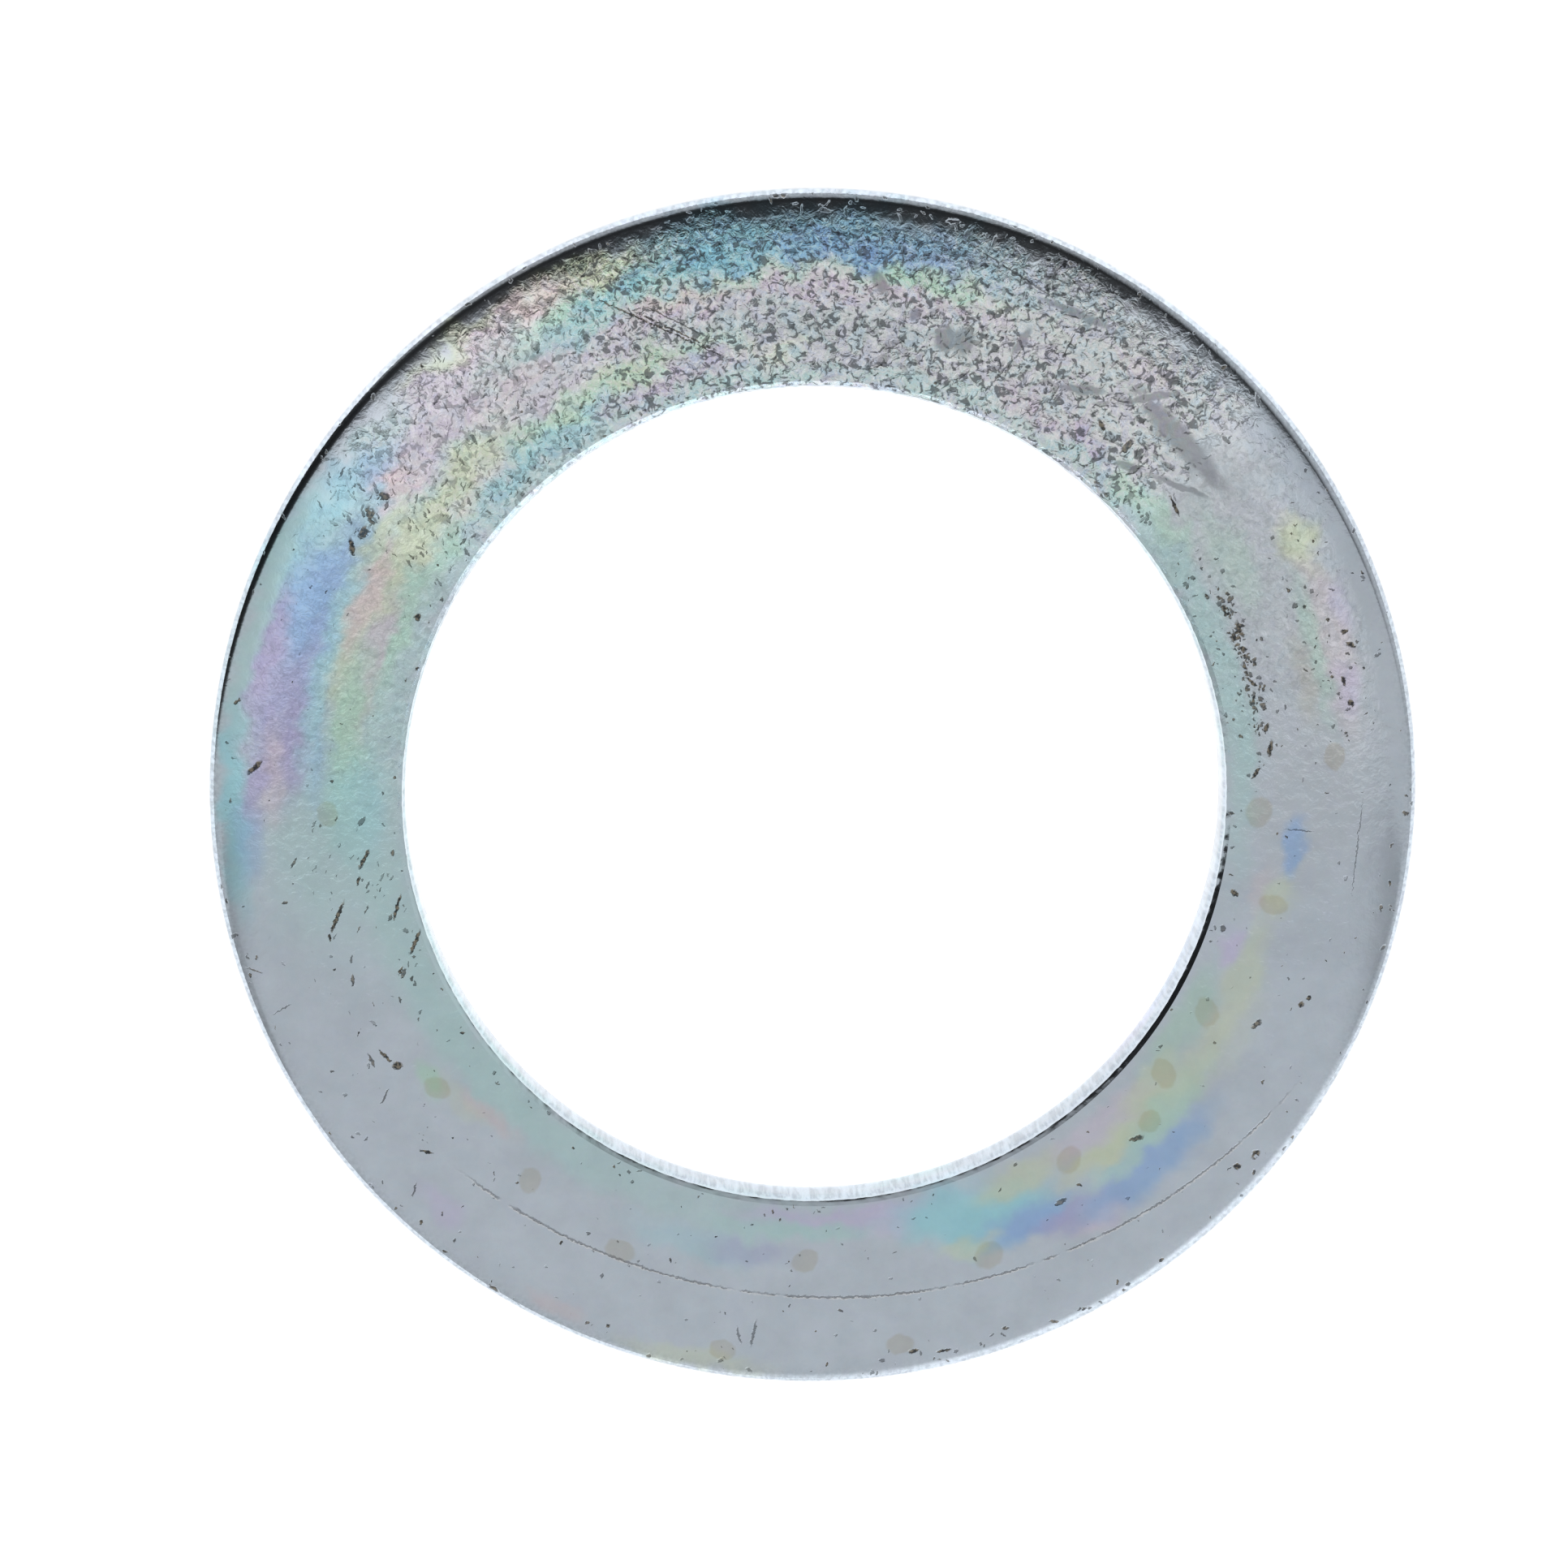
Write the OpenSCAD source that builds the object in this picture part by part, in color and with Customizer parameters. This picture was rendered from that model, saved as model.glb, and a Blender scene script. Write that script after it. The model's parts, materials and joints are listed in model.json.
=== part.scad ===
// Blanked flat washer of the ring kind (machinery bushing) for a 1 inch shaft: one piece of 14 gauge
// sheet steel, zinc plated and passivated.
// Origin: centre of the bore on the lower bearing face. +Z is the bore axis and points to the upper face.
// The upper face carries the broad die roll of the outer edge; the lower face carries the roll of the bore.

/* [Ring] */
// Diameter of the shaft or bolt that passes through the bore, 1 inch
shaft_d = 25.4; // [10:0.1:31]
// Clearance on diameter between the shaft and the bore
shaft_clearance = 0.4; // [0.1:0.05:0.8]
// Outside diameter, 1 1/2 inch
outer_d = 38.1; // [33:0.1:70]
// Thickness of the sheet from bearing face to bearing face, 14 gauge
thickness = 1.9; // [1.5:0.1:4]

/* [Outer edge] */
// Width of the die roll on the upper face, measured inwards from the rim
roll_w = 2.4; // [0.8:0.1:3]
// Radius of the broad, gentle part of that roll
roll_r = 9; // [5:0.1:15]
// Radius of the tight shoulder where the roll turns down into the wall
shoulder_r = 0.5; // [0.1:0.05:0.8]
// Height of the broken band at the foot of the wall
outer_break_h = 0.5; // [0.2:0.05:0.8]

/* [Bore edge] */
// Width of the die roll on the lower face, measured outwards from the bore
bore_roll_w = 0.7; // [0.3:0.05:1.2]
// Radius of the gentle part of the bore roll
bore_roll_r = 2.6; // [1.5:0.1:5]
// Radius of the shoulder where the bore roll turns up into the bore
bore_shoulder_r = 0.1; // [0.05:0.01:0.2]
// Height of the broken band at the top of the bore
bore_break_h = 0.45; // [0.2:0.05:0.8]

/* [Sharp edges] */
// How far the broken bands lean back from the sheared wall
break_lean = 0.05; // [0.02:0.01:0.15]
// Size of the small bevel that tumbling leaves on the sharp lower edge of the rim
edge_bevel = 0.06; // [0.02:0.01:0.15]
// Width of the dressed lip where the bore meets the upper face
bore_lip_w = 0.17; // [0.04:0.01:0.3]
// Depth of that lip below the upper face
bore_lip_h = 0.12; // [0.04:0.01:0.15]

/* [Hidden] */
bore_r = (shaft_d + shaft_clearance) / 2;
outer_r = outer_d / 2;
cut_margin = 1;
$fn = 180;

// Y of the centre of the shoulder arc, which is also where the roll ends and the wall begins
function shoulder_y(width, broad_r, tight_r) =
    sqrt(pow(broad_r - tight_r, 2) - pow(width - tight_r, 2)) - broad_r;

// What a die roll takes away from a square corner: a broad arc that leaves the face on a tangent, then a
// tight shoulder that meets the wall on a tangent. The corner is the origin, the face runs along -X and
// the wall along -Y.
module rolled_waste(width, broad_r, tight_r) {
    broad = [-width, -broad_r];
    tight = [-tight_r, shoulder_y(width, broad_r, tight_r)];
    past_join = broad + 2 * broad_r * (tight - broad) / (broad_r - tight_r);
    difference() {
        translate([-width, tight[1]]) square([width + cut_margin, cut_margin - tight[1]]);
        translate(tight) circle(r = tight_r);
        intersection() {
            translate(broad) circle(r = broad_r);
            polygon([broad, past_join, [-width, past_join[1]]]);
        }
    }
}

// What the broken band and the bevel above it take away. Same corner frame as above, band_h tall with the
// bevel counted in.
module broken_waste(band_h, bevel_w, bevel_h) {
    lean_x = -break_lean;
    bevel_x = lean_x - bevel_w;
    polygon([
        [0, -band_h], [lean_x, -bevel_h], [bevel_x, 0], [bevel_x, cut_margin],
        [cut_margin, cut_margin], [cut_margin, -band_h]
    ]);
}

// Half of the cross-section, X is the distance from the axis and Y the height
module section_profile() {
    difference() {
        translate([bore_r, 0]) square([outer_r - bore_r, thickness]);
        translate([outer_r, thickness]) rolled_waste(roll_w, roll_r, shoulder_r);
        translate([outer_r, 0]) mirror([0, 1]) broken_waste(outer_break_h, edge_bevel, edge_bevel);
        translate([bore_r, 0]) rotate(180) rolled_waste(bore_roll_w, bore_roll_r, bore_shoulder_r);
        translate([bore_r, thickness]) mirror([1, 0]) broken_waste(bore_break_h, bore_lip_w, bore_lip_h);
    }
}

module washer() {
    color([0.68, 0.71, 0.74]) rotate_extrude() section_profile();
}

washer();
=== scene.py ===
import json
import math
import random
import bmesh
import bpy
import numpy as np
from mathutils import Matrix, Vector
from mathutils.noise import seed_set, turbulence_vector


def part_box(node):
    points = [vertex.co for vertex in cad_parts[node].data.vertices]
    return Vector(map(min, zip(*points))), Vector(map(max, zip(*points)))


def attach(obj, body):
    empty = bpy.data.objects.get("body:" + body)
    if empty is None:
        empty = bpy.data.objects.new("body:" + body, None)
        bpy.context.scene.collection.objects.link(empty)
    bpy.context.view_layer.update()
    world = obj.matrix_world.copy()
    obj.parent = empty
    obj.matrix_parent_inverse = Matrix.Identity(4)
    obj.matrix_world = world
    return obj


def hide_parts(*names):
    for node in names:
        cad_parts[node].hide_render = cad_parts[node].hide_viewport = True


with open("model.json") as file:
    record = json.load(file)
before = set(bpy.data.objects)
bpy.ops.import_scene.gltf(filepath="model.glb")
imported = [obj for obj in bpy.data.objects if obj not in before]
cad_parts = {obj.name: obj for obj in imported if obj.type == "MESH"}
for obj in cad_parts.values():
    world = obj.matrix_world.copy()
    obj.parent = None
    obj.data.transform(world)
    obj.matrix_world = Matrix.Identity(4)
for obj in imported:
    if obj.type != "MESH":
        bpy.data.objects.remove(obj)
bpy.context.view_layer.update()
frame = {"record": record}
random.seed(11)
seed_set(7)    # left alone, this noise starts from the clock
mm = 0.001

low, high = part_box("washer")
mounts = {m["name"]: m for m in frame["record"]["mounts"]}
boreRadius = mounts["bore"]["dims"]["r_mm"] * mm
rimRadius = min(high.x, high.y, -low.x, -low.y)
topHeight = high.z
print("frame loaded, washer", round(rimRadius * 2 / mm, 2), "mm across")


def polar(angle, radius):
    return radius * math.cos(math.radians(angle)), radius * math.sin(math.radians(angle))


def deselectAll():
    for thing in bpy.context.selected_objects:
        thing.select_set(False)
    bpy.context.view_layer.objects.active = None


def makeActive(piece):
    deselectAll()
    piece.select_set(True)
    bpy.context.view_layer.objects.active = piece


def addNode(tree, kind, feeds=None, **settings):
    made = tree.nodes.new(kind)
    for name, value in settings.items():
        setattr(made, name, value)
    for name, value in (feeds or {}).items():
        if isinstance(value, bpy.types.NodeSocket):
            tree.links.new(value, made.inputs[name])
        else:
            made.inputs[name].default_value = value
    return made


def calc(tree, operation, a, b=0.0, c=0.0):
    return addNode(tree, "ShaderNodeMath", {0: a, 1: b, 2: c}, operation=operation).outputs[0]


def vec(tree, operation, a, b=None, output="Vector"):
    feeds = {0: a} if b is None else {0: a, 1: b}
    return addNode(tree, "ShaderNodeVectorMath", feeds, operation=operation).outputs[output]


def scaled(tree, vector, factor):
    made = addNode(tree, "ShaderNodeVectorMath", {0: vector, "Scale": factor}, operation="SCALE")
    return made.outputs[0]


def product(tree, *factors):
    total = factors[0]
    for factor in factors[1:]:
        total = calc(tree, "MULTIPLY", total, factor)
    return total


def blendColour(tree, factor, a, b, how="MIX"):
    mix = addNode(tree, "ShaderNodeMix", {0: factor, 6: a, 7: b}, data_type="RGBA", blend_type=how)
    return mix.outputs[2]


def tinted(tree, factor, colour, tint):
    # the colour times the tint, as far as the factor says
    return blendColour(tree, factor, colour, blendColour(tree, 1.0, colour, tint, "MULTIPLY"))


def fade(tree, value, start, end, to=(0.0, 1.0), how="SMOOTHSTEP"):
    feeds = {"Value": value, "From Min": start, "From Max": end, "To Min": to[0], "To Max": to[1]}
    return addNode(tree, "ShaderNodeMapRange", feeds, interpolation_type=how).outputs[0]


def ramp(tree, factor, stops):
    made = addNode(tree, "ShaderNodeValToRGB", {"Fac": factor})
    while len(made.color_ramp.elements) < len(stops):
        made.color_ramp.elements.new(0.5)
    for element, (place, colour) in zip(made.color_ramp.elements, stops):
        element.position = place
        element.color = (*colour, 1)
    return made.outputs["Color"]


section = dict(
    rollWidth=2.4 * mm,       # die roll on the upper face
    rollRadius=9 * mm,
    shoulder=0.5 * mm,
    footBand=0.5 * mm,        # broken band at the foot of the rim
    boreRollWidth=0.7 * mm,
    boreRollRadius=2.6 * mm,
    boreShoulder=0.1 * mm,
    boreBand=0.45 * mm,       # broken band at the top of the bore
    lean=0.05 * mm,
    bevel=0.06 * mm,          # lower edge of the rim
    lipWidth=0.17 * mm,       # dressed lip where the bore meets the upper face
    lipHeight=0.12 * mm,
    ease=0.9 * mm,            # the upper face falls away a hair towards the lip
    easeDrop=0.006 * mm,
    stations=960,             # steps of the spin
)


def straight(start, end, count):
    a, b = Vector(start), Vector(end)
    return [a.lerp(b, i / count) for i in range(count)]


def roundArc(centre, radius, start, end, count):
    turns = [math.radians(start + (end - start) * i / count) for i in range(count)]
    return [Vector((centre[0] + radius * math.cos(t), centre[1] + radius * math.sin(t))) for t in turns]


def rollShape(width, broad, tight):
    # how far the shoulder's centre lies under the face, and the slope where the two arcs meet
    drop = broad - math.sqrt((broad - tight) ** 2 - (width - tight) ** 2)
    return drop, math.degrees(math.asin((width - tight) / (broad - tight)))


def washerOutline():
    s = section
    drop, slope = rollShape(s["rollWidth"], s["rollRadius"], s["shoulder"])
    boreDrop, boreSlope = rollShape(s["boreRollWidth"], s["boreRollRadius"], s["boreShoulder"])
    top, bore, rim = topHeight, boreRadius, rimRadius
    boreLip = bore + s["lean"]
    foot = rim - s["lean"]
    lip = boreLip + s["lipWidth"]
    shares = [i / 9 for i in range(9, 0, -1)]
    eased = [Vector((lip + s["ease"] * t, top - s["easeDrop"] * (1 - t) ** 2)) for t in shares]
    outline = straight((lip, top - s["easeDrop"]), (boreLip, top - s["lipHeight"]), 4)
    outline += straight((boreLip, top - s["lipHeight"]), (bore, top - s["boreBand"]), 4)
    outline += straight((bore, top - s["boreBand"]), (bore, boreDrop), 4)
    outline += roundArc((bore + s["boreShoulder"], boreDrop), s["boreShoulder"], 180, 270 - boreSlope, 3)
    outline += roundArc((bore + s["boreRollWidth"], s["boreRollRadius"]), s["boreRollRadius"],
                        270 - boreSlope, 270, 4)
    outline += straight((bore + s["boreRollWidth"], 0), (foot - s["bevel"], 0), 13)
    outline += straight((foot - s["bevel"], 0), (foot, s["bevel"]), 3)
    outline += straight((foot, s["bevel"]), (rim, s["footBand"]), 4)
    outline += straight((rim, s["footBand"]), (rim, top - drop), 4)
    outline += roundArc((rim - s["shoulder"], top - drop), s["shoulder"], 0, 90 - slope, 13)
    outline += roundArc((rim - s["rollWidth"], top - s["rollRadius"]), s["rollRadius"], 90 - slope, 90, 13)
    outline += straight((rim - s["rollWidth"], top), (lip + s["ease"], top), 22)
    return outline + eased


def spinWasher():
    outline = washerOutline()
    middle = (boreRadius + rimRadius) / 2
    deselectAll()
    bpy.ops.mesh.primitive_plane_add(size=1, location=(middle, 0, topHeight / 2),
                                     rotation=(math.pi / 2, 0, 0))
    piece = bpy.context.active_object
    piece.name = "platedWasher"
    piece.scale = (rimRadius - boreRadius, topHeight, 1)
    bpy.ops.object.transform_apply(location=True, rotation=True, scale=True)
    bpy.ops.object.mode_set(mode="EDIT")
    bpy.ops.mesh.select_all(action="SELECT")
    bpy.ops.mesh.delete(type="ONLY_FACE")
    bpy.ops.mesh.select_all(action="SELECT")
    bpy.ops.mesh.subdivide(number_cuts=len(outline) // 4 - 1)
    # walk round the outline from its inner top corner and lay each point on the blanked section
    shape = bmesh.from_edit_mesh(piece.data)
    corner = max(shape.verts, key=lambda v: v.co.z - v.co.x)
    downhill = min((e.other_vert(corner) for e in corner.link_edges), key=lambda v: v.co.z)
    chain = [corner, downhill]
    while len(chain) < len(shape.verts):
        step = [e.other_vert(chain[-1]) for e in chain[-1].link_edges]
        chain.append(next(v for v in step if v is not chain[-2]))
    for vert, place in zip(chain, outline):
        vert.co = (place.x, 0, place.y)
    bmesh.update_edit_mesh(piece.data)
    bpy.ops.mesh.select_all(action="SELECT")
    bpy.ops.mesh.spin(steps=section["stations"], angle=2 * math.pi, center=(0, 0, 0), axis=(0, 0, 1))
    bpy.ops.mesh.select_all(action="SELECT")
    bpy.ops.mesh.remove_doubles(threshold=0.002 * mm)
    bpy.ops.mesh.select_all(action="SELECT")
    bpy.ops.mesh.normals_make_consistent(inside=False)
    bpy.ops.object.mode_set(mode="OBJECT")
    print("washer spun,", len(piece.data.polygons), "faces")
    return piece


washer = spinWasher()


def paintGroup(piece, name, weightAt):
    group = piece.vertex_groups.new(name=name)
    for vert in piece.data.vertices:
        weight = weightAt(math.hypot(vert.co.x, vert.co.y), vert.co.z)
        if weight > 0:
            group.add([vert.index], min(weight, 1.0), "REPLACE")
    return name


def smooth(value, start, end):
    t = min(max((value - start) / (end - start), 0), 1)
    return t * t * (3 - 2 * t)


def roughen(piece, name, group, grain, depth):
    # the texture only pushes inwards, so the washer never grows past its nominal size
    texture = bpy.data.textures.new(name, "CLOUDS")
    texture.noise_scale = grain
    texture.noise_depth = 2
    push = piece.modifiers.new(name, "DISPLACE")
    push.texture = texture
    push.texture_coords = "LOCAL"
    push.vertex_group = group
    push.direction = "NORMAL"
    push.mid_level = 1
    push.strength = depth
    makeActive(piece)
    bpy.ops.object.modifier_apply(modifier=name)


wear = dict(
    sheetGrain=3.2 * mm, sheetDepth=0.012 * mm,    # slow waviness of the sheet
    peelGrain=0.55 * mm, peelDepth=0.006 * mm,     # orange peel of the plating
    peelStart=0.8 * mm, peelFull=1.3 * mm,         # how far in from the rim it sets in
    bandGrain=0.22 * mm, bandDepth=0.05 * mm,      # torn metal of the broken bands
    bandNear=0.08 * mm, bandFar=0.25 * mm,         # how deep behind the walls it reaches
)


def wearWasher(piece):
    s, w = section, wear

    def faceWeight(r, z):
        onFace = z > topHeight - 0.5 * mm or z < 0.05 * mm
        return 0.2 + 0.8 * smooth(rimRadius - r, w["peelStart"], w["peelFull"]) * onFace

    def bandWeight(r, z):
        inBore = smooth(z, topHeight - s["boreBand"] * 1.1, topHeight - s["boreBand"] * 0.7)
        inBore *= smooth(r, boreRadius + w["bandFar"], boreRadius + w["bandNear"])
        atFoot = smooth(z, s["footBand"] * 1.1, s["footBand"] * 0.7)
        atFoot *= smooth(r, rimRadius - w["bandFar"], rimRadius - w["bandNear"])
        return max(inBore, atFoot)

    flats = paintGroup(piece, "faces", faceWeight)
    roughen(piece, "sheetWave", flats, w["sheetGrain"], w["sheetDepth"])
    roughen(piece, "orangePeel", flats, w["peelGrain"], w["peelDepth"])
    bands = paintGroup(piece, "brokenBands", bandWeight)
    roughen(piece, "tornMetal", bands, w["bandGrain"], w["bandDepth"])
    makeActive(piece)
    bpy.ops.object.shade_smooth_by_angle(angle=math.radians(32))
    print("washer worn")


wearWasher(washer)


finish = dict(
    calm=0.16,                # share of the crumpling that the rest of the ring has
    # grains are per mm, depths in mm
    wrinkleGrain=3.4, wrinkleDepth=0.034,
    creaseGrain=3.2, creaseDepth=0.012,
    foldGrain=4.0, foldDepth=0.005, nickDepth=0.018, grooveDepth=0.008,
    # colours and how much of the surface they cover
    # painted shade in the folds and painted highlights on the crests of the crumpled skin
    foldShadeShare=0.78, foldShadeColour=(0.10, 0.11, 0.12, 1),
    paintedGlint=0.75,
    # painted shade in the hairline groove and a painted highlight along its lip
    grooveShadeShare=0.55, grooveShadeColour=(0.12, 0.12, 0.13, 1),
    lipHighlightShare=0.6, lipHighlightColour=(0.93, 0.95, 0.97, 1),
    dirtCover=0.92, soot=(0.03, 0.03, 0.03, 1), rust=(0.30, 0.26, 0.19, 1),
    spotColour=(0.92, 0.87, 0.79, 1), rubColour=(0.54, 0.54, 0.55, 1),
    sheen=[(0.30, (0.78, 0.92, 1.00)), (0.42, (0.86, 1.00, 0.98)), (0.49, (1.00, 1.00, 0.86)),
           (0.56, (1.00, 0.88, 0.94)), (0.66, (0.84, 0.86, 1.00))],
    roughness=0.085, dirtRoughness=0.5,
    # the long hairline scratch, mm and degrees
    arcCentre=(0.7, 3.0, 0), arcRadius=19.1, arcAngle=275.5, lipOffset=0.05,
)

film = dict(
    plain=(0.672, 0.752, 0.845),
    wander=(0.30, 0.60),      # mm that the edges of the patches wander, smooth and crumpled
    topPaintedLight=0.30, endsPaintedLight=0.18,    # painted light: how much the crumpled skin's colour is brightened, at the top and at its two ends, to stand in for the light it catches
    brightest=0.97,
    wanderGrain=1.1,          # per mm
    spread=1.25,              # stretches every patch a little
    topStart=(38, 48), topEnd=(142, 150),    # degrees over which the crumpled skin comes and goes
    leftEase=(111, 120), leftShare=0.5,      # it is weaker beyond these
    sideReach=(80, 98), sideShare=0.28,      # and reaches a little further down both sides
    rimBand=(17.9, 18.4), rimShare=0.24,     # mm, the rolled rim is smoother
    wallShare=0.3,                           # and the walls of rim and bore more so
    hiddenPatches=46,                        # on the lower face
)

# tints of the passivate as shares of the plain zinc
filmTints = dict(
    cyan=(0.70, 1.12, 1.12), deepCyan=(0.44, 0.76, 0.86), deepBlue=(0.40, 0.58, 0.84),
    blue=(0.62, 0.82, 1.12),
    violet=(0.82, 0.70, 0.94), lilac=(1.08, 0.90, 1.10), pink=(1.18, 0.97, 1.02), rose=(1.26, 0.94, 0.88),
    yellow=(1.12, 1.12, 0.78), green=(0.87, 1.12, 0.85), mint=(0.86, 1.07, 0.97), tan=(0.97, 0.90, 0.78),
    warm=(1.05, 1.00, 0.95), pearl=(1.10, 1.02, 0.98), dull=(0.80, 0.79, 0.77), dim=(0.88, 0.89, 0.90),
)

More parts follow.
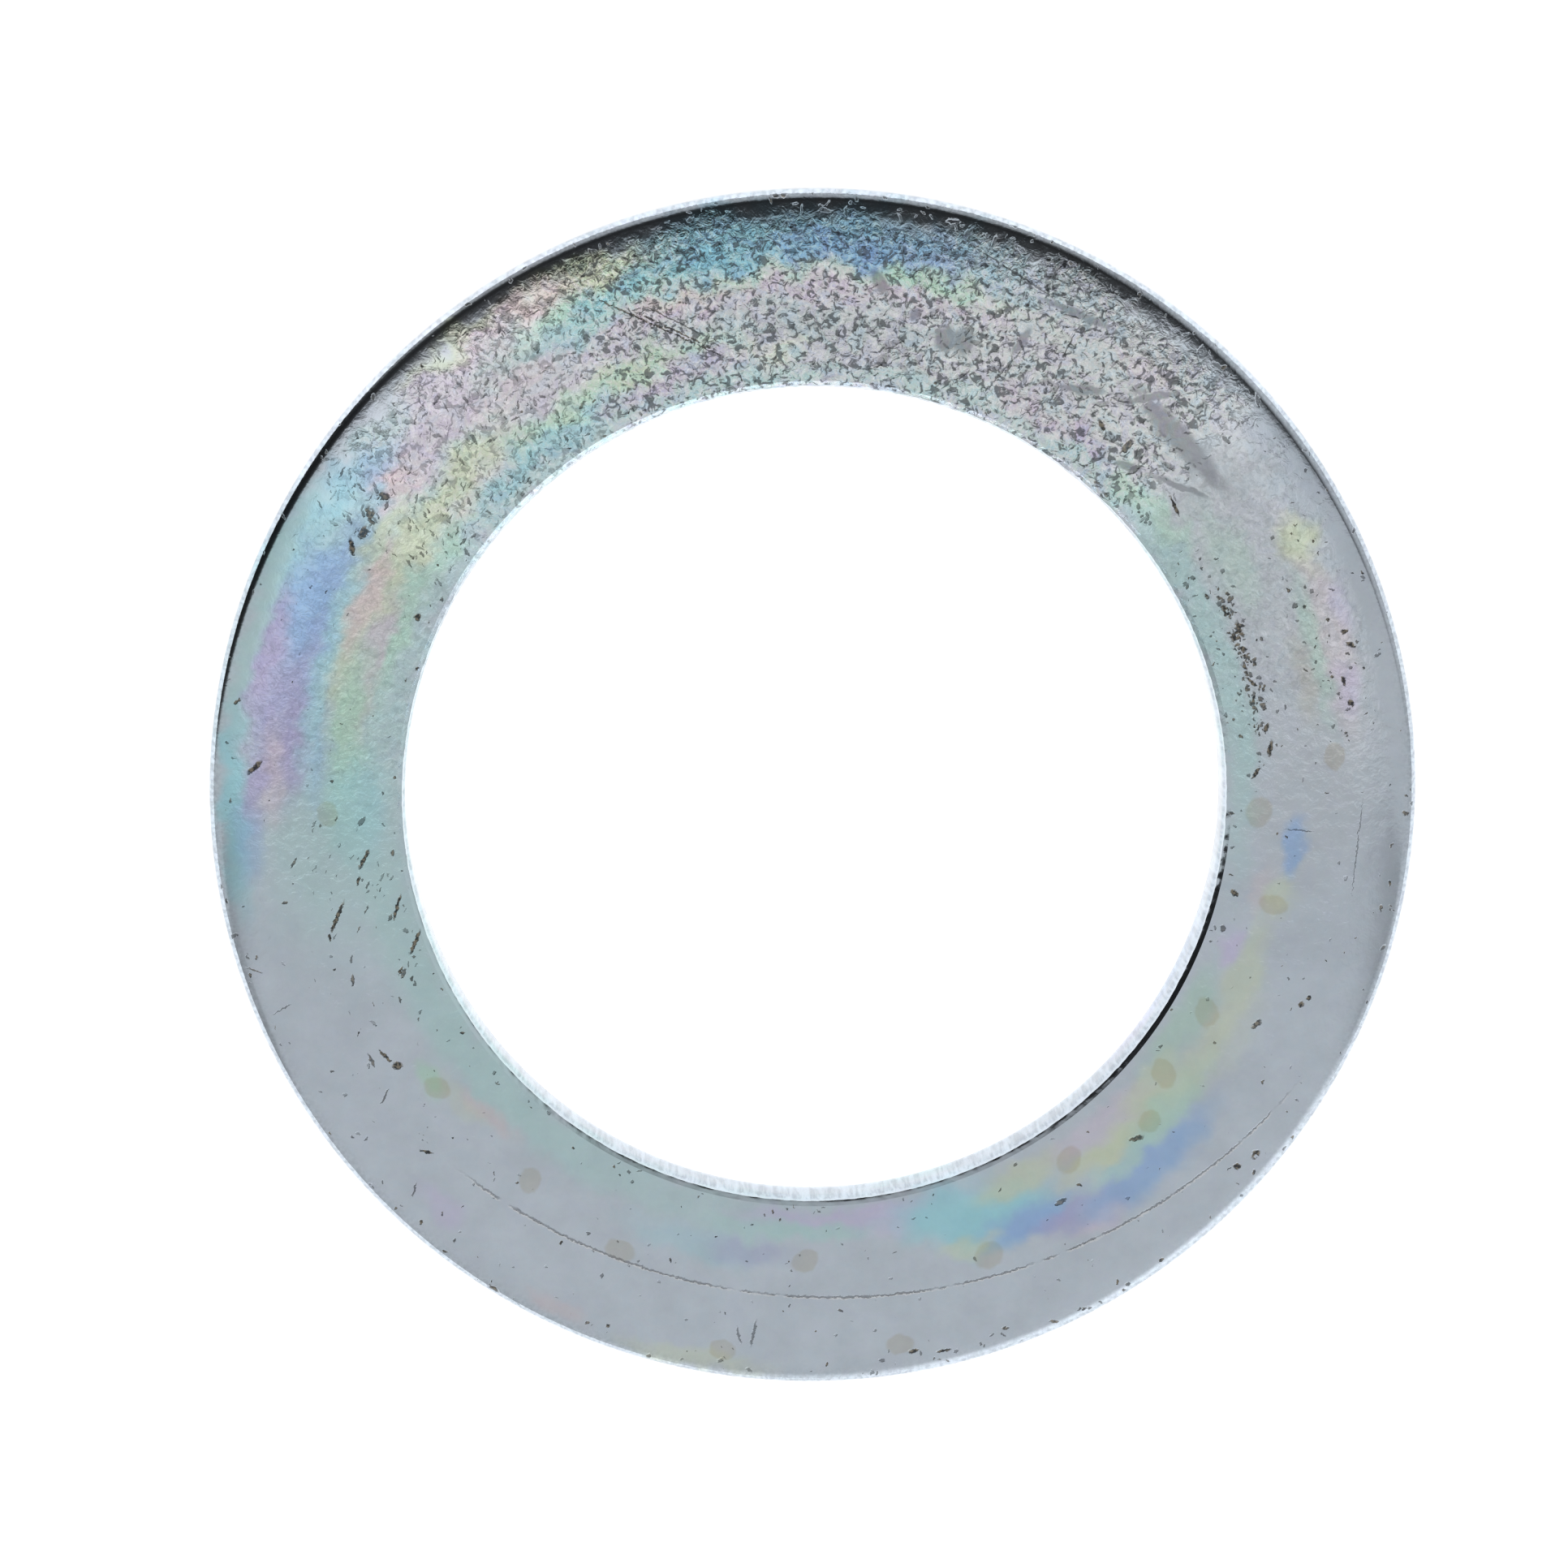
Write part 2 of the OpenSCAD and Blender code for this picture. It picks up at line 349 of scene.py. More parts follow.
# where each tint lies on the upper face: angle, radius in mm, half length along the ring, half width
# across it, tint and how strong it is
filmPatches = [
    (22, 16.4, 9.0, 2.6, "dim", 0.9), (90, 14.6, 4.0, 1.4, "dim", 0.6), (66, 15.6, 9.0, 2.6, "warm", 1.0),
    (14, 16.0, 6.0, 2.4, "warm", 0.5), (131, 16.0, 6.5, 2.6, "pearl", 0.5),
    (168, 15.8, 7.0, 2.6, "mint", 0.6), (121, 16.0, 5.0, 2.4, "pearl", 0.7),
    (200, 13.7, 9.0, 0.8, "mint", 0.7), (240, 13.6, 9.0, 0.6, "mint", 0.5),
    (20, 13.5, 6.0, 0.5, "mint", 0.8), (60, 13.4, 9.0, 0.35, "mint", 0.4),
    (120, 13.4, 9.0, 0.35, "mint", 0.6), (92, 17.4, 7.0, 1.0, "deepCyan", 0.9),
    (88, 17.1, 2.0, 0.8, "deepBlue", 0.8), (79, 17.3, 1.2, 0.8, "blue", 0.6),
    (97, 17.3, 1.6, 0.6, "cyan", 0.35), (105, 17.4, 2.2, 0.7, "deepCyan", 0.6),
    (111, 16.9, 2.2, 0.6, "cyan", 0.9), (92, 16.4, 6.5, 0.35, "yellow", 0.55),
    (93, 15.9, 6.5, 0.35, "pink", 0.75), (78, 16.5, 1.6, 0.3, "green", 0.8),
    (106, 16.2, 1.4, 0.25, "rose", 0.6), (87, 14.9, 3.2, 0.7, "dull", 0.8),
    (96, 14.2, 1.2, 0.3, "yellow", 0.5), (115, 17.8, 2.4, 0.5, "yellow", 0.95),
    (123, 17.7, 2.0, 0.5, "rose", 0.9), (119, 17.1, 1.0, 0.4, "green", 0.8),
    (118, 16.4, 1.6, 0.3, "cyan", 0.5), (113, 16.5, 1.2, 0.3, "mint", 0.8),
    (126, 16.9, 1.2, 0.5, "green", 0.4), (131, 17.5, 2.6, 0.6, "pink", 0.6),
    (135, 16.4, 2.4, 0.6, "pink", 0.7), (127, 15.9, 1.6, 0.4, "rose", 0.35),
    (128, 18.1, 1.8, 0.3, "yellow", 0.7), (141, 17.8, 1.6, 0.4, "mint", 0.5),
    (137, 15.6, 2.0, 0.4, "green", 0.3), (116, 14.6, 2.6, 0.4, "yellow", 0.8),
    (125, 14.5, 2.4, 0.4, "green", 0.7), (113, 13.9, 1.5, 0.3, "pink", 0.8),
    (130, 14.0, 3.6, 0.35, "cyan", 0.7), (122, 15.2, 2.0, 0.3, "pink", 0.4),
    (140, 15.0, 2.6, 0.5, "yellow", 0.9), (137, 14.4, 1.4, 0.3, "rose", 0.3),
    (140, 14.2, 1.2, 0.3, "tan", 0.7), (107, 14.8, 1.8, 0.35, "green", 0.5),
    (105, 14.1, 1.8, 0.3, "lilac", 0.4), (146, 17.1, 1.5, 1.0, "blue", 0.6),
    (153, 17.7, 2.6, 0.9, "cyan", 0.75), (151, 16.8, 1.6, 0.7, "mint", 0.9),
    (143, 16.4, 0.9, 0.3, "rose", 0.9), (152, 15.4, 0.9, 0.35, "rose", 0.9),
    (148, 15.9, 1.4, 0.35, "yellow", 0.8), (152, 14.8, 2.4, 0.35, "yellow", 0.8),
    (153, 14.1, 3.0, 0.4, "green", 0.8), (158, 16.7, 2.4, 0.6, "blue", 0.85),
    (164, 17.0, 3.4, 0.9, "blue", 0.8), (164, 17.7, 1.8, 0.35, "violet", 0.9),
    (171, 17.5, 2.4, 0.45, "lilac", 0.45), (172, 16.9, 2.2, 0.6, "violet", 0.75),
    (169, 16.4, 2.2, 0.4, "violet", 0.4), (177, 17.0, 1.4, 0.4, "rose", 0.45),
    (179, 17.6, 1.0, 0.35, "violet", 0.8), (175, 16.3, 1.4, 0.35, "violet", 0.6),
    (166, 15.9, 3.4, 0.35, "cyan", 0.5), (165, 15.2, 3.4, 0.4, "yellow", 0.75),
    (157, 15.3, 1.4, 0.3, "rose", 0.7), (165, 14.6, 2.6, 0.35, "tan", 0.8),
    (160, 14.6, 1.2, 0.3, "pink", 0.6), (172, 14.9, 2.6, 0.45, "green", 0.9),
    (176, 15.5, 1.6, 0.35, "blue", 0.5), (178, 14.8, 2.0, 0.7, "green", 0.6),
    (181, 14.5, 1.6, 0.8, "cyan", 0.55), (180, 18.3, 3.0, 0.35, "cyan", 0.9),
    (184, 17.9, 1.0, 0.4, "blue", 0.5), (160, 18.3, 3.6, 0.3, "mint", 0.7),
    (188, 15.4, 2.0, 1.4, "mint", 0.4), (216, 15.1, 0.6, 0.3, "green", 0.8),
    (224, 14.5, 1.0, 0.25, "rose", 0.5), (221, 14.8, 1.0, 0.25, "yellow", 0.3),
    (228, 17.7, 0.9, 0.35, "lilac", 0.5), (243, 18.4, 0.9, 0.3, "rose", 0.4),
    (258, 18.6, 2.0, 0.3, "yellow", 0.5), (256, 14.8, 2.2, 0.5, "cyan", 0.35),
    (262, 14.8, 1.2, 0.35, "violet", 0.45), (262, 14.0, 1.6, 0.3, "mint", 0.6),
    (277, 13.6, 3.4, 0.35, "lilac", 0.75), (280, 14.0, 1.2, 0.3, "lilac", 0.6),
    (270, 14.0, 1.6, 0.3, "mint", 0.8), (288, 14.0, 1.6, 0.7, "cyan", 0.9),
    (293, 14.7, 1.8, 0.8, "cyan", 1.0), (297, 15.3, 1.4, 0.5, "blue", 1.0),
    (289, 15.3, 0.9, 0.25, "yellow", 0.6), (303, 15.9, 1.3, 0.5, "violet", 0.6),
    (300, 15.6, 0.8, 0.3, "violet", 0.5), (304, 16.4, 0.8, 0.3, "pink", 0.7),
    (312, 16.0, 2.4, 0.6, "blue", 0.85), (311, 15.3, 1.6, 0.3, "mint", 0.9),
    (308, 14.7, 1.2, 0.35, "yellow", 0.8), (314, 14.6, 1.8, 0.4, "yellow", 0.7),
    (298, 13.9, 1.4, 0.45, "yellow", 0.7), (311, 13.9, 1.8, 0.4, "pink", 0.6),
    (319, 15.0, 1.6, 0.5, "green", 0.7), (325, 14.8, 1.4, 0.4, "yellow", 0.5),
    (328, 13.8, 1.8, 0.5, "green", 0.6), (319, 14.1, 1.2, 0.4, "yellow", 0.6),
    (336, 14.8, 2.0, 0.5, "yellow", 0.6), (330, 15.4, 1.8, 0.5, "yellow", 0.25),
    (340, 14.0, 0.6, 0.3, "lilac", 0.7), (354, 15.2, 0.9, 0.3, "blue", 0.8),
    (348, 15.1, 0.6, 0.45, "yellow", 0.6), (348, 14.4, 0.8, 0.3, "rose", 0.3),
    (19, 17.0, 3.2, 0.45, "rose", 0.4), (28, 17.1, 0.8, 0.5, "yellow", 0.9),
    (17, 16.4, 2.2, 0.3, "green", 0.5), (14, 15.8, 1.4, 0.35, "tan", 0.8),
    (12, 17.1, 0.8, 0.3, "lilac", 0.5), (20, 17.5, 0.7, 0.25, "lilac", 0.5),
    (30, 15.0, 1.6, 0.6, "green", 0.4), (42, 14.0, 1.8, 0.35, "green", 0.7),
    (45, 17.0, 2.6, 0.5, "warm", 0.9), (52, 14.0, 0.9, 0.3, "lilac", 0.7),
    (60, 14.0, 1.6, 0.35, "pink", 0.7), (53, 17.0, 0.8, 0.4, "rose", 0.3),
    (70, 17.2, 2.2, 0.5, "dull", 0.4), (57, 17.7, 2.4, 0.6, "dull", 0.7),
]


def wrapAngle(difference):
    return (difference + 180) % 360 - 180


def rise(value, span):
    # 0 at the first end of the span and 1 at the second
    return np.clip((value - span[0]) / (span[1] - span[0]), 0, 1)


def paintFilm(piece):
    # the passivate's colours are laid on the mesh itself, each patch a soft oval that follows the ring
    count = len(piece.data.vertices)
    places = np.empty(count * 3)
    piece.data.vertices.foreach_get("co", places)
    places = places.reshape(-1, 3) / mm
    drift = np.array([turbulence_vector(Vector(p) * film["wanderGrain"], 4, False) for p in places])
    around = np.degrees(np.arctan2(places[:, 1], places[:, 0]))
    stir = rise(np.abs(wrapAngle(around - 93)), (68, 52))
    least, most = film["wander"]
    moved = places + drift * (least + (most - least) * stir)[:, None]
    angle = np.degrees(np.arctan2(moved[:, 1], moved[:, 0]))
    radius = np.hypot(moved[:, 0], moved[:, 1])
    upper = places[:, 2] > topHeight / mm / 2
    tint = np.ones((count, 3))
    # the lower face gets patches of its own at random
    under = [(random.uniform(0, 360), random.uniform(13.5, 18.5), random.uniform(1, 5),
              random.uniform(0.3, 1.2), random.choice(["mint", "lilac", "yellow", "blue", "pink", "warm"]),
              random.uniform(0.3, 0.8)) for patch in range(film["hiddenPatches"])]
    for side, patches in ((upper, filmPatches), (~upper, under)):
        for around, out, along, across, name, strength in patches:
            far = np.hypot(np.radians(wrapAngle(angle - around)) * radius / along, (radius - out) / across)
            far /= film["spread"]
            share = np.clip((1.3 - far) / 0.9, 0, 1)
            share = (share * share * (3 - 2 * share) * strength * side)[:, None]
            tint = tint * (1 - share) + np.array(filmTints[name]) * share
    # the alpha says how crumpled the surface is, most at the top of the ring
    reach = np.hypot(places[:, 0], places[:, 1])
    onFace = (places[:, 2] > topHeight / mm - 0.7) & (reach > boreRadius / mm + 0.1)
    crumple = rise(angle, film["topStart"]) * (1 - rise(angle, film["topEnd"])) * onFace
    # painted light: the colour of the crumpled skin is brightened here in place of the light it catches
    bright = 1 + crumple * (film["topPaintedLight"] + film["endsPaintedLight"] * rise(np.abs(angle - 91), (12, 24)))
    tint *= bright[:, None]
    strongest = (tint * np.array(film["plain"])).max(axis=1)
    tint *= np.minimum(1, film["brightest"] / strongest)[:, None]
    crumple *= 1 - (1 - film["leftShare"]) * rise(angle, film["leftEase"])
    sides = (1 - rise(np.abs(wrapAngle(angle - 95)), film["sideReach"])) * film["sideShare"]
    strength = finish["calm"] + (1 - finish["calm"]) * np.maximum(crumple, sides)
    strength *= 1 - (1 - film["rimShare"]) * rise(radius, film["rimBand"])
    strength *= film["wallShare"] + (1 - film["wallShare"]) * onFace
    colours = np.column_stack((tint, strength))
    layer = piece.data.color_attributes.new("film", "FLOAT_COLOR", "POINT")
    layer.data.foreach_set("color", colours.ravel())
    print("film laid,", len(filmPatches), "patches")


def noise(tree, vector, scale, detail=2.0, rough=0.5, warp=0.0, output="Fac"):
    feeds = {"Vector": vector, "Scale": scale, "Detail": detail, "Roughness": rough, "Distortion": warp}
    return addNode(tree, "ShaderNodeTexNoise", feeds).outputs[output]


def flattened(tree, vector):
    return vec(tree, "MULTIPLY", vector, (1, 1, 0))


def stirred(tree, vector, scale, reach, detail):
    # the same place pushed about by noise, flattened onto the face
    push = noise(tree, vector, scale, detail, output="Color")
    shift = scaled(tree, vec(tree, "SUBTRACT", push, (0.5, 0.5, 0.5)), reach)
    return flattened(tree, vec(tree, "ADD", vector, shift))


# angle, radius in mm, half length, half width, turn of the length away from the tangent in degrees
waterSpots = [
    (181.6, 15.3, 0.40, 0.32, 0), (217.5, 15.1, 0.42, 0.34, 20), (233.4, 15.2, 0.42, 0.34, -60),
    (246.9, 15.8, 0.50, 0.34, 0), (260.6, 18.1, 0.42, 0.34, 0), (268.8, 14.9, 0.46, 0.34, 20),
    (290.6, 15.8, 0.50, 0.42, 20), (304.7, 14.2, 0.46, 0.36, 30), (315.6, 14.9, 0.38, 0.34, 0),
    (321.3, 14.2, 0.50, 0.36, 60), (330.9, 14.2, 0.50, 0.38, 40), (346.6, 14.9, 0.46, 0.34, 90),
    (358.0, 14.0, 0.50, 0.40, 0), (278.8, 17.9, 0.45, 0.34, 0), (4.5, 16.4, 0.46, 0.32, 0),
]

rubs = [
    (45.0, 16.0, 2.10, 0.36, -3), (41.0, 15.0, 1.00, 0.10, 28), (50.5, 16.3, 0.85, 0.12, 50),
    (57.0, 15.3, 0.70, 0.14, 25), (62.0, 17.2, 1.20, 0.12, 5), (47.0, 14.3, 0.45, 0.13, 30),
    (66.0, 15.7, 0.50, 0.14, 80), (72.3, 15.05, 0.36, 0.40, 0), (74.4, 14.95, 0.34, 0.40, 0),
    (83.0, 16.3, 0.42, 0.22, -50), (78.5, 15.5, 0.22, 0.14, 40),
]

# the last number is how dark the mark is, from a dent in the bright metal to a rusty pit
gouges = [
    (66.5, 14.7, 1.10, 0.035, 72, 0.6), (70.0, 17.6, 1.80, 0.035, -12, 0.7),
    (61.0, 16.0, 0.70, 0.03, -85, 0.7), (108.7, 15.7, 2.4, 0.03, -43, 0.95),
    (106.5, 15.3, 1.5, 0.03, -42, 0.95), (105.8, 15.5, 1.4, 0.02, -42, 0.8),
    (263.5, 17.4, 0.42, 0.05, -95, 0.6), (262.0, 17.5, 0.3, 0.03, -70, 0.6),
    (356.0, 15.3, 0.42, 0.02, 90, 0.6), (354.5, 17.2, 1.4, 0.02, 0, 0.5),
    (193.8, 15.5, 0.55, 0.06, -37, 1.0), (187.4, 14.3, 0.34, 0.06, -34, 1.0),
    (190.0, 14.6, 0.14, 0.06, -20, 1.0), (194.4, 13.6, 0.42, 0.05, -30, 1.0),
    (199.7, 13.4, 0.42, 0.06, -42, 1.0), (202.5, 14.15, 0.14, 0.05, -40, 1.0),
    (195.8, 15.9, 0.12, 0.05, -10, 1.0), (176.5, 17.6, 0.3, 0.08, -45, 1.0),
    (212.6, 15.7, 0.16, 0.12, 60, 1.0), (211.0, 15.85, 0.30, 0.05, 14, 1.0),
    (224.5, 17.85, 0.24, 0.03, -62, 0.7), (214.8, 16.6, 0.26, 0.03, -62, 0.7),
    (222.4, 16.7, 0.20, 0.04, 30, 1.0), (210.6, 16.3, 0.24, 0.05, -8, 0.8),
    (197.0, 18.5, 0.24, 0.03, 60, 0.8), (186.8, 16.5, 0.18, 0.04, -38, 0.8),
    (201.6, 18.1, 0.30, 0.02, -80, 0.6),
]

rustPits = [
    (3.2, 13.9, 0.24, 0.05, -35, 1), (6.1, 14.4, 0.26, 0.07, -15, 1), (8.8, 14.35, 0.14, 0.07, -30, 1),
    (14.8, 14.2, 0.26, 0.05, 35, 1), (12.6, 14.1, 0.22, 0.06, -25, 1), (17.2, 14.1, 0.14, 0.08, 10, 1),
    (21.6, 14.25, 0.34, 0.12, -20, 1), (24.6, 14.15, 0.26, 0.08, 10, 1), (19.3, 14.2, 0.12, 0.09, 50, 1),
    (27.5, 13.8, 0.08, 0.06, 0, 1), (52.6, 14.7, 0.30, 0.07, -25, 1), (39.4, 14.5, 0.34, 0.05, -15, 1),
    (347.0, 13.6, 0.14, 0.08, 60, 1), (332.5, 15.8, 0.2, 0.08, -20, 0.9), (336.6, 16.8, 0.1, 0.08, 0, 1),
    (337.6, 16.95, 0.08, 0.07, 0, 1), (320.6, 18.2, 0.16, 0.12, 0, 1), (318.5, 18.0, 0.1, 0.12, 0, 1),
    (144.5, 16.5, 0.12, 0.2, 30, 0.9), (147.0, 16.5, 0.14, 0.3, -40, 0.9),
    (149.0, 16.4, 0.2, 0.16, 0, 0.9), (151.0, 16.5, 0.26, 0.08, 40, 1), (10.0, 17.1, 0.12, 0.1, 0, 1),
    (12.5, 17.0, 0.14, 0.06, 0, 1), (16.0, 17.5, 0.16, 0.08, 50, 1), (17.5, 17.4, 0.08, 0.1, 0, 1),
    (313.0, 15.0, 0.24, 0.08, -30, 0.9), (301.0, 15.2, 0.2, 0.08, 0, 0.8), (48.8, 14.7, 0.1, 0.3, 0, 0.9),
    (155.0, 13.7, 0.1, 0.1, 0, 1), (237.0, 18.9, 0.2, 0.14, 0, 1), (280.0, 18.2, 0.18, 0.06, 0, 1),
    (283.0, 18.4, 0.24, 0.05, 0, 1),
]

# bands of small marks left by the tumbling barrel: how many, angles, radii, half lengths, width as a share
# of the length, how dark, turn of the length and its spread
litter = [
    (190, (0, 360), (18.2, 18.95), (0.04, 0.14), 0.5, (0.5, 1.0), (0, 60)),
    (110, (0, 360), (13.1, 13.6), (0.04, 0.12), 0.5, (0.5, 1.0), (0, 60)),
    (420, (0, 360), (13.6, 18.2), (0.02, 0.09), 0.5, (0.1, 1.0), (0, 60)),
    (50, (2, 34), (13.3, 14.9), (0.03, 0.11), 0.6, (0.5, 1.0), (0, 60)),
    (50, (5, 30), (16.0, 17.8), (0.03, 0.10), 0.6, (0.5, 1.0), (0, 60)),
    (46, (182, 212), (13.3, 16.6), (0.04, 0.20), 0.3, (0.3, 1.0), (-36, 14)),
    (60, (8, 28), (13.95, 14.45), (0.04, 0.19), 0.5, (0.75, 1.0), (-10, 45)),
    (420, (118, 150), (13.4, 18.3), (0.06, 0.20), 0.26, (0.15, 0.75), (48, 35)),
    (560, (40, 120), (13.3, 18.6), (0.06, 0.22), 0.28, (0.1, 0.65), (10, 60)),
    (90, (44, 84), (13.6, 18.0), (0.15, 0.40), 0.3, (0.1, 0.4), (35, 50)),
]


def layMarks(piece, name, marks):
    # every face is told which mark lies nearest to it, the material then draws that mark sharply
    count = len(piece.data.polygons)
    middles = np.empty(count * 3)
    piece.data.polygons.foreach_get("center", middles)
    middles = middles.reshape(-1, 3) / mm
    upper = middles[:, 2] > topHeight / mm - 1.0
    place = np.zeros((count, 3))
    turned = np.zeros((count, 3))
    size = np.ones((count, 3)) * 0.01
    closest = np.full(count, 2.5)
    for angle, radius, along, across, turn, tone in marks:
        x, y = polar(angle, radius)
        lie = math.radians(angle + 90 + turn)
        dx, dy = middles[:, 0] - x, middles[:, 1] - y
        lengthwise = dx * math.cos(lie) + dy * math.sin(lie)
        sideways = dy * math.cos(lie) - dx * math.sin(lie)
        far = np.hypot(lengthwise / (along + 0.08), sideways / (across + 0.08))
        near = (far < closest) & (far < 1.8) & upper
        closest[near] = far[near]
        place[near] = (x, y, tone)
        turned[near] = (0, 0, lie)
        size[near] = (along, across, 1)
    for part, values in (("Place", place), ("Turn", turned), ("Size", size)):
        layer = piece.data.attributes.new(name + part, "FLOAT_VECTOR", "FACE")
        layer.data.foreach_set("vector", values.ravel())


def scatterMarks():
    made = []
    for count, angles, radii, lengths, slim, tones, turn in litter:
        for mark in range(count):
            along = random.uniform(*lengths) * random.uniform(0.5, 1)
            made.append((random.uniform(*angles), random.uniform(*radii), along,
                         along * slim * random.uniform(0.5, 1.5), random.gauss(*turn),
                         random.uniform(*tones)))
    return made


def readMark(tree, vector, name):
    # distance from the mark this face belongs to, 1 on its edge, and its tone
    laid = {part: addNode(tree, "ShaderNodeAttribute", attribute_name=name + part).outputs["Vector"]
            for part in ("Place", "Turn", "Size")}
    feeds = {"Vector": vector, "Location": laid["Place"], "Rotation": laid["Turn"], "Scale": laid["Size"]}
    local = addNode(tree, "ShaderNodeMapping", feeds, vector_type="TEXTURE").outputs[0]
    far = vec(tree, "LENGTH", flattened(tree, local), output="Value")
    return far, addNode(tree, "ShaderNodeSeparateXYZ", {0: laid["Place"]}).outputs["Z"]


def makeZinc():
    mat = bpy.data.materials.new("zincPassivate")
    mat.use_nodes = True
    tree = mat.node_tree
    shader = tree.nodes["Principled BSDF"]
    where = addNode(tree, "ShaderNodeTexCoord").outputs["Object"]
    inMm = scaled(tree, where, 1 / mm)
    height = addNode(tree, "ShaderNodeSeparateXYZ", {0: inMm}).outputs["Z"]
    onTop = fade(tree, height, 1.5, 1.6)
    loose = stirred(tree, inMm, 2.2, 0.26, 4)
    close = stirred(tree, inMm, 8.0, 0.17, 4)

    # passivate film with its fine sheen and a slow cloudiness
    layer = addNode(tree, "ShaderNodeVertexColor", layer_name="film").outputs
    colour = blendColour(tree, 1.0, layer["Color"], (*film["plain"], 1), "MULTIPLY")
    sheen = ramp(tree, noise(tree, inMm, 1.7, 4, 0.6, 0.8), finish["sheen"])
    colour = tinted(tree, fade(tree, layer["Alpha"], 0.25, 0.9, (0.10, 0.55)), colour, sheen)
    cloud = fade(tree, noise(tree, inMm, 0.8, 5, 0.62), 0.3, 0.7, (0.94, 1.05), "LINEAR")
    colour = blendColour(tree, 1.0, colour, cloud, "MULTIPLY")

    # the sheared walls are scored from face to face
    upright = vec(tree, "MULTIPLY", inMm, (1, 1, 0.08))
    scored = fade(tree, noise(tree, upright, 7.0, 3, 0.6), 0.35, 0.65, (0.70, 1.0))
    onWall = product(tree, fade(tree, height, 1.75, 1.5), fade(tree, height, 0.0, 0.08))
    colour = tinted(tree, onWall, colour, scored)

    # water spots are crisp, rubbed places soft
    far, kind = readMark(tree, loose, "blotch")
    rub = product(tree, fade(tree, far, 1.35, 0.65), onTop, kind)
    spot = product(tree, fade(tree, far, 1.15, 0.85), onTop, calc(tree, "SUBTRACT", 1.0, kind))
    colour = tinted(tree, spot, colour, finish["spotColour"])
    colour = tinted(tree, rub, colour, finish["rubColour"])

    # nicks, dark with dirt, and rusty where they are deep
    far, tone = readMark(tree, close, "nick")
    nick = product(tree, fade(tree, far, 1.25, 0.7), onTop)
    dark = product(tree, nick, tone)
    filling = product(tree, fade(tree, noise(tree, inMm, 9.0, 2), 0.42, 0.60), fade(tree, tone, 0.6, 0.9))
    dirt = blendColour(tree, filling, finish["soot"], finish["rust"])
    colour = blendColour(tree, product(tree, dark, finish["dirtCover"]), colour, dirt)

    # one long hairline scratch along the front of the face: a groove dented in and darkened with painted
    # shade, with a line of painted highlight along its lip
    flatOffset = flattened(tree, vec(tree, "SUBTRACT", close, finish["arcCentre"]))
    across = calc(tree, "SUBTRACT", vec(tree, "LENGTH", flatOffset, output="Value"), finish["arcRadius"])
    away = calc(tree, "ABSOLUTE", across)
    lipAway = calc(tree, "ABSOLUTE", calc(tree, "SUBTRACT", across, finish["lipOffset"]))
    arcMiddle = (*polar(finish["arcAngle"], 1), 0)
    outward = vec(tree, "NORMALIZE", flatOffset)
    sweep = vec(tree, "DOT_PRODUCT", outward, arcMiddle, "Value")
    broken = fade(tree, noise(tree, inMm, 1.3), 0.3, 0.5)
    scratched = product(tree, fade(tree, sweep, 0.70, 0.76), onTop, broken)
    grooveAndShade = product(tree, scratched, fade(tree, away, 0.05, 0.015))
    lip = product(tree, scratched, fade(tree, lipAway, 0.04, 0.01))

    # crumpled skin: folds dented in and darkened with painted shade, painted highlights on the crests, and
    # wrinkles between them
    fold = noise(tree, inMm, finish["foldGrain"], 4, 0.6, 0.9)
    crumpled = product(tree, fade(tree, layer["Alpha"], 0.2, 0.9), calc(tree, "SUBTRACT", 1.0, rub))
    foldsAndShade = product(tree, fade(tree, fold, 0.475, 0.395), crumpled)
    paintedGlints = product(tree, fade(tree, fold, 0.52, 0.62), crumpled)
    wrinkle = noise(tree, inMm, finish["wrinkleGrain"], 4, 0.6, 1.0)
    creases = addNode(tree, "ShaderNodeTexVoronoi", {"Vector": close, "Scale": finish["creaseGrain"]})
    tall = product(tree, calc(tree, "SUBTRACT", wrinkle, 0.5), finish["wrinkleDepth"])
    tall = calc(tree, "MULTIPLY_ADD", creases.outputs["Distance"], finish["creaseDepth"], tall)
    tall = product(tree, tall, layer["Alpha"])
    tall = calc(tree, "SUBTRACT", tall, product(tree, foldsAndShade, finish["foldDepth"]))
    tall = product(tree, tall, fade(tree, rub, 0, 1, (1.0, 0.25), "LINEAR"))
    tall = calc(tree, "SUBTRACT", tall, product(tree, nick, finish["nickDepth"]))
    tall = calc(tree, "SUBTRACT", tall, product(tree, grooveAndShade, finish["grooveDepth"]))
    bump = addNode(tree, "ShaderNodeBump", {"Height": tall, "Distance": mm, "Strength": 1.0})
    tree.links.new(bump.outputs[0], shader.inputs["Normal"])

    # painted shade darkens the folds and painted highlights brighten the crests
    colour = blendColour(tree, product(tree, foldsAndShade, finish["foldShadeShare"]), colour, finish["foldShadeColour"])
    colour = blendColour(tree, product(tree, paintedGlints, finish["paintedGlint"]), colour, colour, "SCREEN")
    # painted shade in the groove and a painted highlight along its lip
    colour = blendColour(tree, product(tree, grooveAndShade, finish["grooveShadeShare"]), colour, finish["grooveShadeColour"])
    colour = blendColour(tree, product(tree, lip, finish["lipHighlightShare"]), colour, finish["lipHighlightColour"])
    tree.links.new(colour, shader.inputs["Base Color"])
    rough = fade(tree, dark, 0, 1, (finish["roughness"], finish["dirtRoughness"]), "LINEAR")
    tree.links.new(rough, shader.inputs["Roughness"])
    shader.inputs["Metallic"].default_value = 1
    return mat


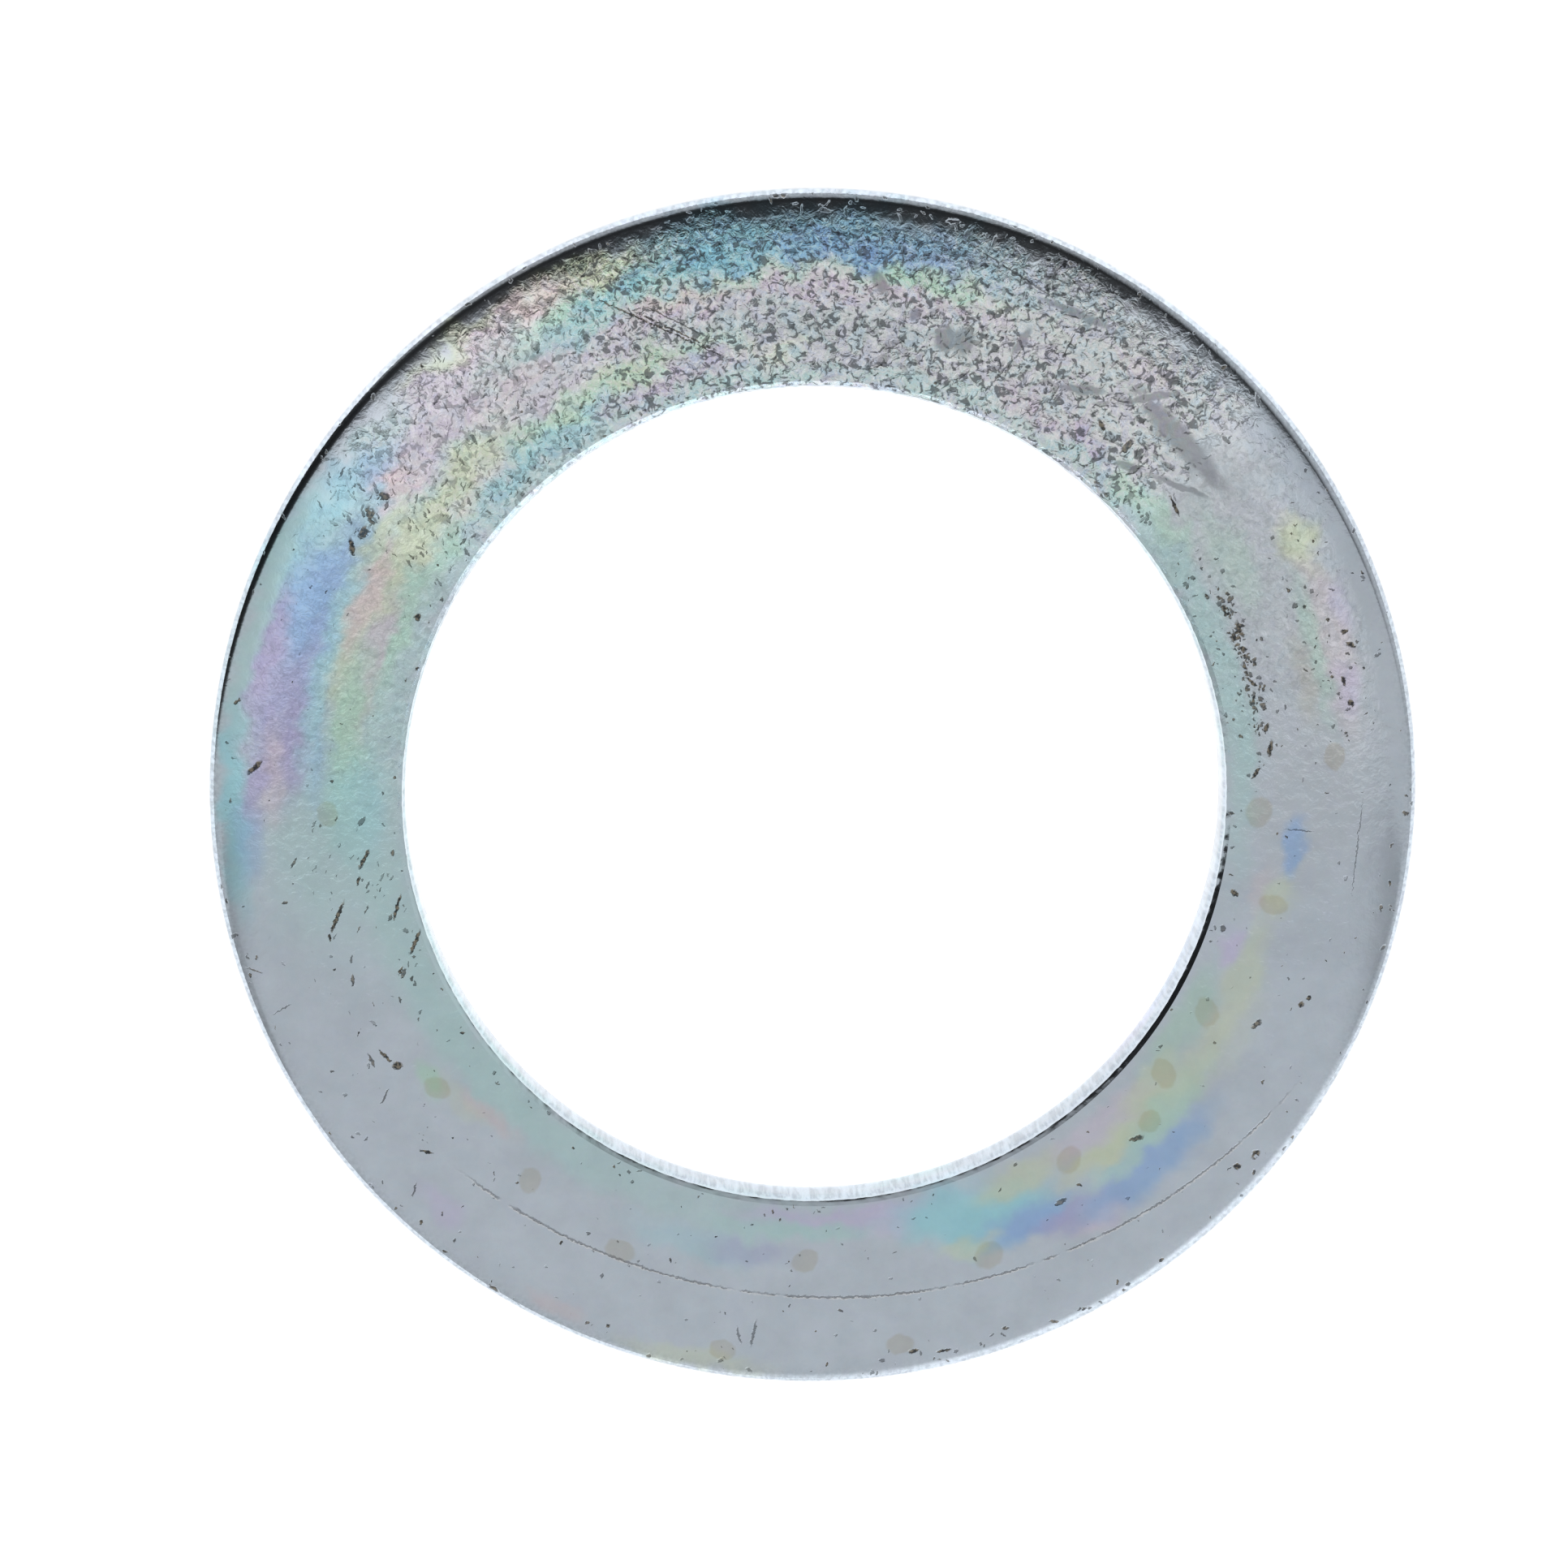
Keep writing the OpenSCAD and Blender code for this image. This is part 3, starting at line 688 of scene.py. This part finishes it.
paintFilm(washer)
layMarks(washer, "blotch", [(*mark, 0) for mark in waterSpots] + [(*mark, 1) for mark in rubs])
layMarks(washer, "nick", scatterMarks() + gouges + rustPits)
washer.data.materials.clear()
washer.data.materials.append(makeZinc())
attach(washer, "root")
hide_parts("washer")
print("washer plated")


def makeFloor():
    deselectAll()
    bpy.ops.mesh.primitive_plane_add(size=1.2, location=(0, 0, -0.01 * mm))
    floor = bpy.context.active_object
    floor.name = "floor"
    mat = bpy.data.materials.new("paleFloor")
    mat.use_nodes = True
    shader = mat.node_tree.nodes["Principled BSDF"]
    shader.inputs["Base Color"].default_value = (0.9, 0.9, 0.9, 1)
    shader.inputs["Roughness"].default_value = 0.9
    shader.inputs["Emission Color"].default_value = (1, 1, 1, 1)
    shader.inputs["Emission Strength"].default_value = 0.8
    floor.data.materials.append(mat)


studio = dict(
    # brightness of the room by how far a direction leans to +Y, -1 is the horizon at -Y
    sweep=[(-1.0, 0.57), (-0.30, 0.57), (-0.15, 0.555), (-0.112, 0.575), (-0.085, 0.80), (0.19, 0.80),
           (0.23, 0.60), (0.27, 0.15), (0.32, 0.05), (0.40, 0.03), (0.60, 0.02), (0.76, 0.04),
           (0.86, 0.32), (1.0, 0.50)],
    bend=0.3,                      # the dark end of the room curves forward at the sides
    shade=(0.06, 0.10, 0),         # dimmer patch overhead, as the camera and its stand make
    shadeSize=(0.13, 0.19, 1),
    shadeDepth=0.36,
    sideWalls=0.72,                # the room is dimmer to the left and right
    fillSide=(0.954, 0.301, 0), fillStrength=0.62,   # window to the right
    keySide=(0.50, -0.866, 0), keyStrength=0.75,     # soft box low at the lower right
)


def makeRoom():
    world = bpy.data.worlds.new("studio")
    bpy.context.scene.world = world
    world.use_nodes = True
    tree = world.node_tree
    background = tree.nodes["Background"]
    direction = addNode(tree, "ShaderNodeTexCoord").outputs["Generated"]
    parts = addNode(tree, "ShaderNodeSeparateXYZ", {0: direction}).outputs
    sideways = product(tree, parts["X"], parts["X"])
    lean = calc(tree, "MULTIPLY_ADD", sideways, studio["bend"], parts["Y"])
    stops = [((y + 1) / 2, (v, v, v)) for y, v in studio["sweep"]]
    sweep = ramp(tree, calc(tree, "MULTIPLY_ADD", lean, 0.5, 0.5), stops)
    feeds = {"Vector": direction, "Location": studio["shade"], "Scale": studio["shadeSize"]}
    local = addNode(tree, "ShaderNodeMapping", feeds, vector_type="TEXTURE").outputs[0]
    far = vec(tree, "LENGTH", flattened(tree, local), output="Value")
    shade = fade(tree, far, 1.3, 0.5, (1.0, 1 - studio["shadeDepth"]))
    sides = calc(tree, "MULTIPLY_ADD", product(tree, parts["Y"], parts["Y"]), -1.5, sideways)
    glow = product(tree, sweep, shade, fade(tree, sides, 0.01, 0.2, (1.0, studio["sideWalls"])))
    toFill = vec(tree, "DOT_PRODUCT", direction, studio["fillSide"], "Value")
    glow = calc(tree, "MAXIMUM", glow, fade(tree, toFill, 0.5, 1.0, (0.0, studio["fillStrength"])))
    toKey = vec(tree, "DOT_PRODUCT", direction, studio["keySide"], "Value")
    key = calc(tree, "POWER", fade(tree, toKey, 0.55, 1.0, how="LINEAR"), 2.0)
    glow = calc(tree, "MULTIPLY_ADD", key, studio["keyStrength"], glow)
    seen = addNode(tree, "ShaderNodeLightPath").outputs["Is Camera Ray"]
    tree.links.new(blendColour(tree, seen, glow, (1, 1, 1, 1)), background.inputs["Color"])


lens = dict(
    place=(-0.286, 1.223, 8.0),   # camera, in rim radii from the bore's centre
    target=(-0.049, 0.010, 0.0),
    length=111.3,
)


def makeCamera():
    data = bpy.data.cameras.new("camera")
    camera = bpy.data.objects.new("camera", data)
    bpy.context.scene.collection.objects.link(camera)
    place = Vector(lens["place"]) * rimRadius
    back = (place - Vector(lens["target"]) * rimRadius).normalized()
    right = Vector((0, 1, 0)).cross(back).normalized()
    up = back.cross(right)
    camera.matrix_world = Matrix.Translation(place) @ Matrix((right, up, back)).transposed().to_4x4()
    data.lens = lens["length"]
    data.sensor_width = 36
    data.clip_start = 1 * mm
    data.clip_end = 10
    bpy.context.scene.camera = camera


makeFloor()
makeRoom()
makeCamera()
bpy.context.scene.view_settings.view_transform = "Standard"
print("room and camera ready")
